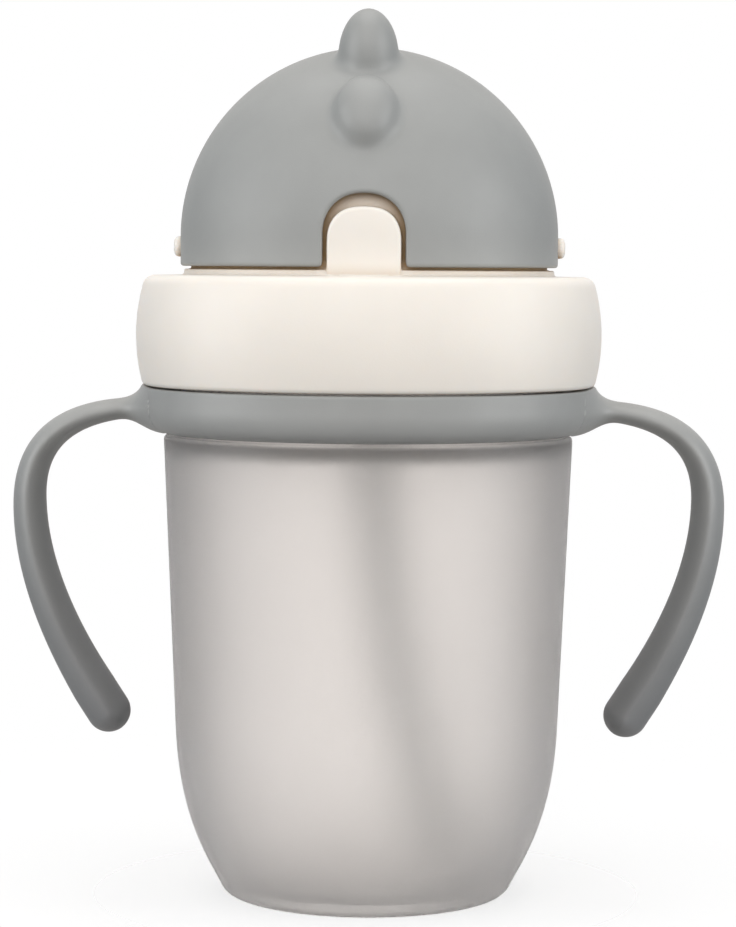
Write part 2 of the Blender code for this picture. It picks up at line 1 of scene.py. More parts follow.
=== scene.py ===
"""Looks of a toddler's straw cup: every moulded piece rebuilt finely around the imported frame.

Solid shapes are written as fields: a function of x, y, z in millimetres that is negative inside the plastic.
Fields join and cut one another with small rounds, and solid() turns one into a smooth mesh.
"""

import json
import math

import bmesh
import bpy
import numpy as np
from mathutils import Matrix, Vector


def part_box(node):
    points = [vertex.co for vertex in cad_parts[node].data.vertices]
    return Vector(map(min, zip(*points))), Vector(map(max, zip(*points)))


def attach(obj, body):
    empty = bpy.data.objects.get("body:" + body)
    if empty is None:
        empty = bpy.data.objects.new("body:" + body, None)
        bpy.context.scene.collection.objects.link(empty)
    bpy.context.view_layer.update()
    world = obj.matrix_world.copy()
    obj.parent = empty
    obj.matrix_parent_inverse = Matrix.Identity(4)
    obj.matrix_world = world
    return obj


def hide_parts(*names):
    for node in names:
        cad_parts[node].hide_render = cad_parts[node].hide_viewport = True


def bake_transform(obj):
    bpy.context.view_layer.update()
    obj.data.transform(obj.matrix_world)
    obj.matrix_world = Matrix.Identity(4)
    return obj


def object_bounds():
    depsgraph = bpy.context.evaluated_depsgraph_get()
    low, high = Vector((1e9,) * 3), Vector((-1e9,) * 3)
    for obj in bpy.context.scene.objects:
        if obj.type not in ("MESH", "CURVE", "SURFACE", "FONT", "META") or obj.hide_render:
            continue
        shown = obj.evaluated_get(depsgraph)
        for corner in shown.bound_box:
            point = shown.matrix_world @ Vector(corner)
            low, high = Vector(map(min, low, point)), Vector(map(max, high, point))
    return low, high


MM = 0.001

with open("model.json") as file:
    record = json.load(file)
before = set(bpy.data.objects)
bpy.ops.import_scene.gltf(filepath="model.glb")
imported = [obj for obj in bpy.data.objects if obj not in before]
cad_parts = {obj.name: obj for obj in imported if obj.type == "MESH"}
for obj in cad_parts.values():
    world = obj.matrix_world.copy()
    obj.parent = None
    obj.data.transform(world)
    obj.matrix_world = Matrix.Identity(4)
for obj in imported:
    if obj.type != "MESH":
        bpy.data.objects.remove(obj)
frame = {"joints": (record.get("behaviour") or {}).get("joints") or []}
cad_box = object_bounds()


def span(node):
    """Lowest and highest corner of a CAD node, in millimetres."""
    low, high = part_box(node)
    return [v / MM for v in low], [v / MM for v in high]


# Driving dimensions, in millimetres, from the frame
CUP_HIGH = span("cup")[1]
RING_LOW, RING_HIGH = span("handle_ring")
LID_LOW, LID_HIGH = span("lid")
COVER_LOW, COVER_HIGH = span("flip_cover")
TUBE_HIGH = span("straw_tube")[1]
GASKET_LOW, GASKET_HIGH = span("lid_gasket")
VALVE_LOW, VALVE_HIGH = span("vent_valve")
BASE_NODE_LOW, BASE_NODE_HIGH = span("mouthpiece_base")
TIP_NODE_LOW, TIP_NODE_HIGH = span("mouthpiece_tip")
JOINTS = {joint["name"]: joint for joint in frame["joints"]}
PIVOT_Z = JOINTS["cover_flip"]["pos_m"][2] / MM
PORT_Y, FOLD_Z = (v / MM for v in JOINTS["mouthpiece_fold"]["pos_m"][1:])

GAP = 0.3
CELL = 0.42  # size of the meshing grid
FINE = CELL * 0.7  # and for the small mouthpiece
CRISP, EASED = 0.3, 0.5  # softness of the sharpest moulded edges, and of the usual ones

# Cup
WALL = 1.6
SHOULDER_R, SHOULDER_Z = CUP_HIGH[0], 85.0
RIM_Z = CUP_HIGH[2]
BODY_LOW_R, BODY_LOW_Z = 35.4, 31.2
BASE_R, BASE_Z = 26.87, 1.64
BASE_PULL, TAPER_PULL = (2.6, 5.2), 17.3  # Bezier handles of the side's lower curve
FLOOR_R, FLOOR_PULL_R = 21.0, 28.0  # flat of the floor inside, and the handle of the curve up from it
INNER_PULL_IN, INNER_PULL_Z = 0.6, 16.2
FOOT_R, FOOT_ROUND, FOOT_ANGLE = 24.2, 3.0, 27
FOOT_RECESS_R, FOOT_RECESS = 18.0, 1.0
RECESS_EDGE = -1.6, -0.6, -0.4, 0.6  # radii of its sloping edge, from FOOT_RECESS_R
SHOULDER_ROUND, SHOULDER_DROP = 0.8, 1.0
NECK_R, NECK_BORE_R = 34.6, 33.0
NECK_SEAT_R, NECK_SEAT_Z = 35.8, 88.2
NECK_FOOT_BEVEL, NECK_SEAT_BEVEL = 0.4, 1.2
THREAD_PITCH, THREAD_TURNS = 5.0, 1.5
THREAD_ROOT, THREAD_CREST = 3.0, 1.2
CUP_THREAD_Z, CUP_THREAD_HEIGHT = 94.7, 1.2
LID_THREAD_Z, LID_THREAD_HEIGHT = 97.2, 0.9

# Handle ring
RING_R, RING_BORE_R, RING_WALL, RING_FLOOR = 41.3, 36.2, 2.6, 2.2
RING_LOW_Z, RING_TOP_Z = SHOULDER_Z + GAP, 93.8
RING_ROUND = 5.2  # softness of its lower edge, and of the roots of its grips
GRIP_ROOT = Vector((39.6, 89.85))
GRIP_BEND = Vector((62.7, 72.6))
GRIP_TIP = Vector((48.05, 33.3))
GRIP_LEAN = math.radians(32.5)
GRIP_PULLS = 13.0, 13.4, 17.8, 6.0  # Bezier handles of its centre line
GRIP_THICK = 3.6, 6.1, 8.25  # at the root, the bend and the tip
GRIP_DEPTH = 12.5  # front to back, where the grip is full
GRIP_ROOT_DEPTH, GRIP_DEPTH_GAIN = 0.72, 0.28  # share of it at the root, and what is added further down
GRIP_RIDGE, GRIP_SHARPEN = 0.1, 0.42  # height of its soft ridge, and how far its section leaves an ellipse
GRIP_END = 4.1  # length of its rounded end

# Lid
COLLAR_LOW_Z, LID_SHOULDER_Z = LID_LOW[2], 114.3
STEP_R, STEP_Z = 34.0, 115.4  # low step under the cover's rim
COLLAR_R, COLLAR_MID_Z, COLLAR_BULGE_R, COLLAR_WALL = 42.8, 103.4, 35.0, 2.5
SKIRT_R, SKIRT_BORE_R, SKIRT_LOW_Z = 39.2, 37.4, 95.2
COLLAR_TOP_ROUND, COLLAR_LOW_ROUND = 1.9, 0.9
DECK_UNDER_Z = 112.6
SLAB = 2.0  # half the height of the bodies that make the step and the plateau
LIP_R, LIP_BORE_R, LIP_LOW_Z = 32.6, 31.0, 108.2
PLATEAU_R, PLATEAU_Z, PLATEAU_THICK = 32.6, 117.0, 2.0
STUD_R, STUD_REACH = 1.9, 35.97
SHELL_R, SHELL_WALL, SHELL_LEAN, EAR_R = 32.6, 1.6, math.radians(-4), 5.5
TAB_HALF, TAB_TOP_Z, TAB_WALL, TAB_INSET = 6.5, 126.4, 2.9, 0.2
TONGUE_HALF, TONGUE_TOP_Z, TONGUE_R, TONGUE_WALL = 9.5, 131.0, 32.1, 1.6
PORT_BOSS_R, PORT_BOSS_Z, PORT_SOCKET_R, PORT_FLOOR_Z = 7.5, 118.5, 5.2, 114.8
SPIGOT_R, SPIGOT_BORE_R, SPIGOT_LOW_Z = 2.3, 1.4, 101.2
VENT_Y, VENT_HOLE_R = (VALVE_LOW[1] + VALVE_HIGH[1]) / 2, 1.8
FRONT_Y = -20  # the tab and the tongue keep only what is in front of this

# Gasket
GASKET_PLAY, GASKET_GROOVE, GASKET_GROOVE_HALF = 0.35, 0.35, 0.3

# Cover
DOME_R, DOME_Z, DOME_WALL = COVER_HIGH[0], 121.3, 1.6
COVER_LOW_Z = COVER_LOW[2]
COVER_LEAN = math.radians(4)
LOBE_R = PIVOT_Z - COVER_LOW_Z + 0.2
NOTCH_HALF, NOTCH_TOP_Z = 7.2, 128.7
NOTCH_POWER, TAB_POWER, TONGUE_POWER = 2.2, 2.5, 2.3  # how square each arch's top is
CREST = (  # elevation in degrees, sizes across, along and out
    (68, (5.4, 7.5, 8.7)),
    (39, (5.5, 7.3, 4.6)),
)

# Mouthpiece and straw
FLANGE_R, FLANGE_LOW_Z, FLANGE_THICK = 6.9, PORT_BOSS_Z + GAP, 1.2
NECK_SPOUT_R, NECK_FOOT_REACH = 3.2, 1.3  # the neck, and how far it spreads at its foot
SIP_BORE = 1.5, 1.1
TIP_REST = math.radians(5)
TIP_SECTIONS = (  # distance from the fold, half width, half height
    (0.0, 3.3, 3.2),
    (9.0, 3.1, 2.9),
    (16.0, 3.8, 2.9),
    (21.5, 5.2, 3.2),
    (26.5, 5.4, 3.0),
    (29.0, 5.0, 2.6),
)
TIP_LENGTH, TIP_ROUND, ELBOW_ROUND = 29.0, 2.4, 1.2
TUBE_R, TUBE_BORE_R, TUBE_SIDES = 3.8, 2.6, 48
TUBE_ROUTE = ((0, PORT_Y, 100), (1.0, PORT_Y, 65), (6.5, 5.0, 27), (15.0, 12.0, 7))


# ---------------------------------------------------------------- fields


def length(*parts):
    return np.sqrt(sum(part * part for part in parts))


def common(a, b, soft=0.0):
    """What both fields hold, with the edge rounded over about half of soft."""
    if soft <= 0:
        return np.maximum(a, b)
    near = np.maximum(soft - np.abs(a - b), 0)
    return np.maximum(a, b) + near * near / (4 * soft)


def join(a, b, soft=0.0):
    return -common(-a, -b, soft)


def cut(a, b, soft=0.0):
    return common(a, -b, soft)


def box2(u, v, low_u, high_u, low_v, high_v, soft=0.0):
    """A rectangle in two coordinates."""
    across = common(low_u - u, u - high_u)
    along = common(low_v - v, v - high_v)
    return common(across, along, soft)


def ellipsoid(u, v, w, sizes):
    """Close to the distance from an ellipsoid at the origin."""
    near = length(u / sizes[0], v / sizes[1], w / sizes[2])
    slope = length(u / sizes[0] ** 2, v / sizes[1] ** 2, w / sizes[2] ** 2)
    return near * (near - 1) / np.maximum(slope, 1e-6)


def arch(x, z, half, top, power):
    """An upright strip along Y with a round top. Power 2 is a half circle, more is squarer."""
    above = np.maximum(z - (top - half), 0)
    return (np.abs(x) ** power + above**power) ** (1 / power) - half


def ridge(x, y, z, start_z):
    """How much of a screw thread's height stands at each point, from 0 to 1."""
    turn = np.arctan2(y, x) / (2 * math.pi) % 1.0
    height = np.zeros_like(z)
    for whole in range(math.ceil(THREAD_TURNS)):
        along = turn + whole
        off = np.abs(z - start_z - THREAD_PITCH * along)
        slope = np.clip((THREAD_ROOT / 2 - off) / ((THREAD_ROOT - THREAD_CREST) / 2), 0, 1)
        fade = np.clip(6 * np.minimum(along, THREAD_TURNS - along), 0, 1)
        height = np.maximum(height, slope * slope * (3 - 2 * slope) * fade)
    return height


def cover_field(x, y, z):
    up = np.maximum(z - DOME_Z, 0)
    radius = length(x, y, up)
    outer = radius - DOME_R
    crest = None
    for degrees, sizes in CREST:
        tilt = math.radians(degrees)
        out_y, out_z = -math.cos(tilt), math.sin(tilt)
        dy, dz = y - DOME_R * out_y, z - DOME_Z - DOME_R * out_z
        egg = ellipsoid(x, dy * out_z - dz * out_y, dy * out_y + dz * out_z, sizes)
        crest = egg if crest is None else join(crest, egg, 1.0)
    outer = join(outer, crest, 2.2)
    body = common(outer, DOME_R - DOME_WALL - radius)
    body = common(body, COVER_LOW_Z - z, 0.7)
    behind = y * math.cos(COVER_LEAN) - (z - PIVOT_Z) * math.sin(COVER_LEAN)
    lobe = length(y, z - PIVOT_Z) - LOBE_R
    body = common(body, join(behind, lobe, 1.0), 0.7)
    notch = common(arch(x, z, NOTCH_HALF, NOTCH_TOP_Z, NOTCH_POWER), y)
    body = cut(body, notch, 0.9)
    hole = length(y, z - PIVOT_Z) - (STUD_R + GAP)
    return cut(body, hole, 0.4)


def deck_field(x, y, z):
    """The collar, the low step and the plateau, with the hollow under them that takes the cup's neck."""
    rho = length(x, y)
    bulge = length(rho - (COLLAR_R - COLLAR_BULGE_R), z - COLLAR_MID_Z) - COLLAR_BULGE_R
    body = common(bulge, z - LID_SHOULDER_Z, COLLAR_TOP_ROUND)
    body = common(body, COLLAR_LOW_Z - z, COLLAR_LOW_ROUND)
    step = common(rho - STEP_R, np.abs(z - STEP_Z + SLAB) - SLAB, 0.35)
    plateau = common(rho - PLATEAU_R, np.abs(z - PLATEAU_Z + SLAB) - SLAB, 0.6)
    body = join(join(body, step, 0.7), plateau, EASED)
    # The screw bore, the groove round it and the recess inside the plug lip
    thread = LID_THREAD_HEIGHT * ridge(x, y, z, LID_THREAD_Z)
    bore = common(rho - SKIRT_BORE_R + thread, z - DECK_UNDER_Z, 0.6)
    lip = box2(rho, z, LIP_BORE_R, LIP_R, LIP_LOW_Z, PLATEAU_Z, 0.6)
    bore = cut(bore, lip, EASED)
    recess = common(rho - LIP_BORE_R, z - PLATEAU_Z + PLATEAU_THICK, 0.6)
    groove = common(common(SKIRT_R - rho, bulge + COLLAR_WALL), z - DECK_UNDER_Z + 1.0, 1.0)
    under = common(rho - SKIRT_R - 0.2, z - SKIRT_LOW_Z)
    body = cut(body, join(bore, recess), 0.4)
    return cut(cut(body, groove, EASED), under, CRISP)


def shell_field(x, y, z):
    """The fixed half shell behind the cover, with the ears that carry the studs."""
    ball = length(x, y, z - PIVOT_Z)
    shell = np.abs(ball - SHELL_R + SHELL_WALL / 2) - SHELL_WALL / 2
    behind = (z - PIVOT_Z) * math.sin(SHELL_LEAN) - y * math.cos(SHELL_LEAN)
    ear = length(y, z - PIVOT_Z) - EAR_R
    foot = common(np.abs(y) - EAR_R + 0.5, z - PIVOT_Z)
    shell = common(shell, join(behind, join(ear, foot, 0.6), 2.0), 0.6)
    return common(shell, PLATEAU_Z - 0.9 - z)


def stud_field(x, y, z):
    stud = common(length(y, z - PIVOT_Z) - STUD_R, np.abs(x) - STUD_REACH, 1.1)
    return common(stud, SHELL_R - 1.0 - np.abs(x))


def tongue_field(x, y, z):
    """A curved upright just inside the cover, which carries the latch tab."""
    radius = length(x, y, np.maximum(z - DOME_Z, 0))
    wall = np.abs(radius - (TONGUE_R - TONGUE_WALL / 2)) - TONGUE_WALL / 2
    tongue = common(wall, arch(x, z, TONGUE_HALF, TONGUE_TOP_Z, TONGUE_POWER), 0.8)
    return common(tongue, common(y - FRONT_Y, PLATEAU_Z - 0.6 - z))


def tab_field(x, y, z):
    """The latch tab, which fills the cover's notch and follows its face."""
    face = length(x, y, np.maximum(z - DOME_Z, 0)) - DOME_R + TAB_INSET
    wall = np.abs(face + TAB_WALL / 2) - TAB_WALL / 2
    tab = common(wall, arch(x, z, TAB_HALF, TAB_TOP_Z, TAB_POWER), 0.7)
    return common(tab, common(y - FRONT_Y, LID_SHOULDER_Z - 0.3 - z))


def lid_field(x, y, z):
    body = join(deck_field(x, y, z), shell_field(x, y, z), 0.7)
    body = join(body, stud_field(x, y, z), CRISP)
    body = join(body, tongue_field(x, y, z), 0.6)
    body = join(body, tab_field(x, y, z), 0.15)
    # Port for the mouthpiece, with the spigot that the straw pushes over, and the valve's hole behind it.
    # Each hole stops above the plateau, so that it stays clear of the shell.
    port = length(x, y - PORT_Y)
    body = join(body, box2(port, z, -1.0, PORT_BOSS_R, PLATEAU_Z - 3, PORT_BOSS_Z, 0.6), 0.6)
    body = join(body, box2(port, z, -1.0, SPIGOT_R, SPIGOT_LOW_Z, PLATEAU_Z - 1, EASED), 0.8)
    socket = common(PORT_FLOOR_Z - z, z - PORT_BOSS_Z - 2, CRISP)
    body = cut(body, common(port - PORT_SOCKET_R, socket, CRISP), 0.4)
    body = cut(body, common(port - SPIGOT_BORE_R, z - PORT_FLOOR_Z - 1), CRISP)
    vent = common(LIP_LOW_Z - z, z - PLATEAU_Z - 1)
    return cut(body, common(length(x, y - VENT_Y) - VENT_HOLE_R, vent), CRISP)


def bezier(p0, p1, p2, p3, steps):
    """Points on a cubic Bezier curve."""
    points = [np.array(p, float) for p in (p0, p1, p2, p3)]
    made = []
    for t in np.linspace(0, 1, steps + 1):
        weights = ((1 - t) ** 3, 3 * (1 - t) ** 2 * t, 3 * (1 - t) * t * t, t**3)
        made.append(sum(w * p for w, p in zip(weights, points)))
    return np.array(made)


def grip_line():
    """Centre line of the right grip in the XZ plane."""
    lean = Vector((math.sin(GRIP_LEAN), math.cos(GRIP_LEAN)))
    root, above, below, end = GRIP_PULLS
    upper = bezier(
        GRIP_ROOT,
        GRIP_ROOT + Vector((root, 0)),
        GRIP_BEND + Vector((0, above)),
        GRIP_BEND,
        40,
    )
    lower = bezier(GRIP_BEND, GRIP_BEND - Vector((0, below)), GRIP_TIP + lean * end, GRIP_TIP, 40)
    return np.vstack([upper, lower[1:]])


GRIP_LINE = grip_line()


def grip_field(x, y, z):
    """A bent bar with a soft ridge down its front and back, slim at the ring and full at its round end."""
    side = np.abs(x)
    best = np.full_like(x, 1e9)
    share = np.zeros_like(x)
    across = np.zeros_like(x)
    past = np.zeros_like(x)
    count = len(GRIP_LINE) - 1
    for i in range(count):
        (ax, az), (bx, bz) = GRIP_LINE[i], GRIP_LINE[i + 1]
        run = math.hypot(bx - ax, bz - az)
        ux, uz = (bx - ax) / run, (bz - az) / run
        along = (side - ax) * ux + (z - az) * uz
        held = np.clip(along, 0, run)
        dx, dz = side - ax - held * ux, z - az - held * uz
        gone = dx * dx + dz * dz
        closer = gone < best
        best = np.where(closer, gone, best)
        share = np.where(closer, (i + held / run) / count, share)
        across = np.where(closer, dx * -uz + dz * ux, across)
        past = np.where(closer, along - held, past)
    root, bend, tip = GRIP_THICK
    upper = root + (bend - root) * np.clip(share / 0.5, 0, 1) ** 1.2
    half = (upper + (tip - bend) * np.clip((share - 0.5) / 0.4, 0, 1)) / 2
    ridge_shift = GRIP_RIDGE * np.clip(share * 2 - 0.4, 0, 1)
    n = across / half
    n = n + ridge_shift * (1 - n * n) * np.minimum(np.abs(y) / GRIP_DEPTH * 2, 1)
    power = 2.0 - GRIP_SHARPEN * np.clip(share * 2.5 - 0.4, 0, 1)
    deep = GRIP_DEPTH / 2 * (GRIP_ROOT_DEPTH + GRIP_DEPTH_GAIN * np.clip(share * 3, 0, 1))
    flat = (np.abs(n) ** power + np.abs(y / deep) ** power) ** (1 / power)
    return half * (length(flat, past / GRIP_END) - 1)


def ring_field(x, y, z):
    rho = length(x, y)
    body = common(rho - RING_R, RING_LOW_Z - z, RING_ROUND)
    body = common(body, z - RING_TOP_Z, EASED)
    near_grip = (np.abs(x) > RING_R - 4) & (np.abs(y) < GRIP_DEPTH)
    grip = np.full_like(x, 50.0)
    grip[near_grip] = grip_field(x[near_grip], y[near_grip], z[near_grip])
    body = join(body, common(grip, RING_R - 2.4 - rho), RING_ROUND)
    channel = common(rho - RING_R + RING_WALL, RING_LOW_Z + RING_FLOOR - z, EASED)
    return cut(body, join(rho - RING_BORE_R, channel), EASED)


def spout_base_field(x, y, z):
    port = length(x, y - PORT_Y)
    plug = box2(port, z, -1.0, PORT_SOCKET_R - GAP, PORT_FLOOR_Z + GAP, FLANGE_LOW_Z + 0.5, 0.4)
    flange = box2(port, z, -1.0, FLANGE_R, FLANGE_LOW_Z, FLANGE_LOW_Z + FLANGE_THICK, 0.8)
    body = join(plug, flange, 0.3)
    return cut(body, port - SIP_BORE[0], CRISP)


def spout_field(x, y, z):
    """The neck over the flange and the folded tip, one tube with a flattened, wider mouth end."""
    port = length(x, y - PORT_Y)
    neck_low = FLANGE_LOW_Z + FLANGE_THICK + 0.05
    neck = box2(port, z, -1.0, NECK_SPOUT_R, neck_low, FOLD_Z, 0.3)
    foot = common(port - NECK_SPOUT_R - 1.2 + (z - neck_low) * 0.9, neck_low - z, 0.3)
    neck = join(neck, common(foot, z - neck_low - 2.5), 1.0)
    elbow = length(x, y - PORT_Y, z - FOLD_Z) - NECK_SPOUT_R
    ahead = -(y - PORT_Y) * math.cos(TIP_REST) + (z - FOLD_Z) * math.sin(TIP_REST)
    above = (y - PORT_Y) * math.sin(TIP_REST) + (z - FOLD_Z) * math.cos(TIP_REST)
    stations, wide, high = zip(*TIP_SECTIONS)
    half_w = np.interp(ahead, stations, wide)
    half_h = np.interp(ahead, stations, high)
    tip = (length(x / half_w, above / half_h) - 1) * np.minimum(half_w, half_h)
    tip = common(tip, ahead - TIP_LENGTH, TIP_ROUND)
    tip = common(tip, -ahead)
    body = join(join(neck, elbow, ELBOW_ROUND), tip, ELBOW_ROUND)
    bore = common((length(x / SIP_BORE[0], above / SIP_BORE[1]) - 1) * SIP_BORE[1], 4 - ahead)
    lower_bore = common(port - SIP_BORE[0], z - FOLD_Z + 1.2)
    return cut(cut(body, bore, EASED), lower_bore, CRISP)


# ---------------------------------------------------------------- meshing

BLOCK = 6  # cells along one side of a block of the grid
BLOCK_REACH = 1.215  # a block is worked out closely when its centre is within this many of its sides
MARGIN = 2.53  # empty cells left round a piece; not a whole number, so that flat faces fall between cells
CENTRES_AT_ONCE, BLOCKS_AT_ONCE = 400000, 3000  # keep the arrays small
PROBE = 0.02  # step for slopes, in millimetres
SETTLE_ROUNDS = 4


def sample(field, points):
    return field(points[:, 0], points[:, 1], points[:, 2])


def grid_values(field, low, counts, cell):
    """The field on a grid, worked out closely only in the blocks that its surface may cross."""
    blocks = [math.ceil(n / BLOCK) for n in counts]
    axes = [low[i] + (np.arange(blocks[i]) + 0.5) * BLOCK * cell for i in range(3)]
    centres = np.stack(np.meshgrid(*axes, indexing="ij"), -1).reshape(-1, 3)
    parts = np.array_split(centres, 1 + len(centres) // CENTRES_AT_ONCE)
    rough = np.concatenate([sample(field, part) for part in parts])
    size = [b * BLOCK for b in blocks]
    coarse = rough.reshape(blocks)
    values = coarse.repeat(BLOCK, 0).repeat(BLOCK, 1).repeat(BLOCK, 2).astype(np.float32)
    near = np.flatnonzero(np.abs(rough) < BLOCK_REACH * BLOCK * cell)
    starts = np.stack(np.unravel_index(near, blocks), -1) * BLOCK
    steps = np.stack(np.meshgrid(*[np.arange(BLOCK)] * 3, indexing="ij"), -1).reshape(-1, 3)
    for part in np.array_split(starts, 1 + len(starts) // BLOCKS_AT_ONCE):
        index = (part[:, None, :] + steps[None]).reshape(-1, 3)
        points = np.array(low) + index * cell
        flat = np.ravel_multi_index(index.T, size)
        values.reshape(-1)[flat] = sample(field, points)
    return values


def surface(field, low, high, cell):
    """Vertices and quads of the field's surface: one vertex in each grid cell that it crosses."""
    low = np.array(low, float) - MARGIN * cell
    counts = np.ceil((np.array(high, float) + MARGIN * cell - low) / cell).astype(int) + 1
    values = grid_values(field, low, counts, cell)
    size = values.shape
    inside = values < 0
    sums = []
    corners = []
    quads = []
    for axis in range(3):
        lower = [slice(None)] * 3
        upper = [slice(None)] * 3
        lower[axis], upper[axis] = slice(0, -1), slice(1, None)
        crossing = np.argwhere(inside[tuple(lower)] != inside[tuple(upper)])
        ahead = crossing.copy()
        ahead[:, axis] += 1
        a = values[tuple(crossing.T)].astype(float)
        b = values[tuple(ahead.T)].astype(float)
        point = crossing.astype(float)
        point[:, axis] += a / (a - b)
        one, two = [i for i in range(3) if i != axis]
        ring = []
        for du, dv in ((-1, -1), (0, -1), (0, 0), (-1, 0)):
            cells = crossing.copy()
            cells[:, one] += du
            cells[:, two] += dv
            ring.append(np.ravel_multi_index(cells.T, size))
        quad = np.stack(ring, 1)
        flip = (a < 0) == (axis == 1)
        quad[flip] = quad[flip][:, ::-1]
        quads.append(quad)
        corners.append(quad.reshape(-1))
        sums.append(np.repeat(point, 4, 0))
    cells = np.concatenate(corners)
    used, index = np.unique(cells, return_inverse=True)
    points = np.concatenate(sums)
    number = np.bincount(index)
    verts = np.stack([np.bincount(index, points[:, i]) / number for i in range(3)], 1)
    quads = np.searchsorted(used, np.concatenate(quads))
    return low + verts * cell, quads


def gradient(field, points):
    made = []
    for axis in range(3):
        ahead, back = points.copy(), points.copy()
        ahead[:, axis] += PROBE
        back[:, axis] -= PROBE
        made.append((sample(field, ahead) - sample(field, back)) / (2 * PROBE))
    return np.stack(made, 1)


def settle(field, verts, cell):
    """Moves the vertices onto the field's surface, and returns them with their normals."""
    for _ in range(SETTLE_ROUNDS):
        slope = gradient(field, verts)
        square = np.maximum((slope * slope).sum(1), 0.05)
        move = (sample(field, verts) / square)[:, None] * slope
        far = np.maximum(np.linalg.norm(move, axis=1) / (0.5 * cell), 1)
        verts = verts - move / far[:, None]
    slope = gradient(field, verts)
    return verts, slope / np.maximum(np.linalg.norm(slope, axis=1), 1e-9)[:, None]


def mesh_object(name, verts, faces, normals=None):
    """An object from vertices in millimetres and faces that all have the same number of corners."""
    mesh = bpy.data.meshes.new(name)
    corners = faces.shape[1]
    mesh.vertices.add(len(verts))
    mesh.vertices.foreach_set("co", (verts * MM).astype(np.float32).ravel())
    mesh.loops.add(faces.size)
    mesh.loops.foreach_set("vertex_index", faces.astype(np.int32).ravel())
    mesh.polygons.add(len(faces))
    mesh.polygons.foreach_set("loop_start", np.arange(0, faces.size, corners, dtype=np.int32))
    mesh.update(calc_edges=True)
    mesh.validate()
    mesh.shade_smooth()
    if normals is not None:
        mesh.normals_split_custom_set_from_vertices(normals)
    made = bpy.data.objects.new(name, mesh)
    bpy.context.scene.collection.objects.link(made)
    return made


def solid(name, field, low, high, cell=CELL, own_normals=True):
    """A smooth object from a field, meshed between two corners."""
    verts, quads = surface(field, low, high, cell)
    verts, normals = settle(field, verts, cell)
    return mesh_object(name, verts, quads, normals if own_normals else None)


def grid_object(name, rows):
    """A closed ring of quads from an array of rings (ring, point, xyz), the last joined to the first."""
    count, around = rows.shape[:2]
    verts = rows.reshape(-1, 3)
    index = np.arange(count * around).reshape(count, around)
    following = np.roll(index, -1, 1)
    above, above_next = np.roll(index, -1, 0), np.roll(following, -1, 0)
    quads = np.stack([index, following, above_next, above], -1).reshape(-1, 4)
    return mesh_object(name, verts, quads)


def rounded(outline, radius, steps=4):
    """The outline with its corners rounded. Each point is (r, z), or (r, z, its own radius)."""
    made = []
    count = len(outline)
    for i, corner in enumerate(outline):
        before = np.array(outline[i - 1][:2], float)
        here = np.array(corner[:2], float)
        after = np.array(outline[(i + 1) % count][:2], float)
        size = corner[2] if len(corner) > 2 else radius
        reach = min(size, 0.45 * np.linalg.norm(before - here), 0.45 * np.linalg.norm(after - here))
        start = here + (before - here) / np.linalg.norm(before - here) * reach
        end = here + (after - here) / np.linalg.norm(after - here) * reach
        for t in np.linspace(0, 1, steps + 1):
            made.append((1 - t) ** 2 * start + 2 * t * (1 - t) * here + t * t * end)
    return np.array(made)


def lathe(name, outline, steps=128, centre=(0, 0), lift=None):
    """A ring of revolution from a closed (r, z) outline. lift(x, y, z) moves its points outwards."""
    angles = np.arange(steps) * 2 * math.pi / steps
    x = outline[:, 0, None] * np.cos(angles)
    y = outline[:, 0, None] * np.sin(angles)
    z = np.broadcast_to(outline[:, 1, None], x.shape)
    if lift is not None:
        out = lift(x, y, z)
        x, y = x + out * np.cos(angles), y + out * np.sin(angles)
    rows = np.stack([x + centre[0], y + centre[1], z], -1)
    return grid_object(name, rows[::-1])


def finished(obj):
    """Merges the points of a turned piece that lie on its axis, and turns its faces outwards."""
    bm = bmesh.new()
    bm.from_mesh(obj.data)
    bmesh.ops.remove_doubles(bm, verts=bm.verts[:], dist=1e-7)
    bmesh.ops.recalc_face_normals(bm, faces=bm.faces[:])
    bm.to_mesh(obj.data)
    bm.free()
    obj.data.shade_smooth()
    return obj


def circle(centre, radius, start, end, steps):
    """Points on an arc in the (r, z) plane, angles in degrees from +r."""
    angles = np.radians(np.linspace(start, end, steps + 1))
    return np.stack([centre[0] + radius * np.cos(angles), centre[1] + radius * np.sin(angles)], 1)


def line(start, end, steps):
    """Points from start up to, but not with, end."""
    share = np.arange(steps)[:, None] / steps
    return np.array(start, float) * (1 - share) + np.array(end, float) * share


# ---------------------------------------------------------------- pieces


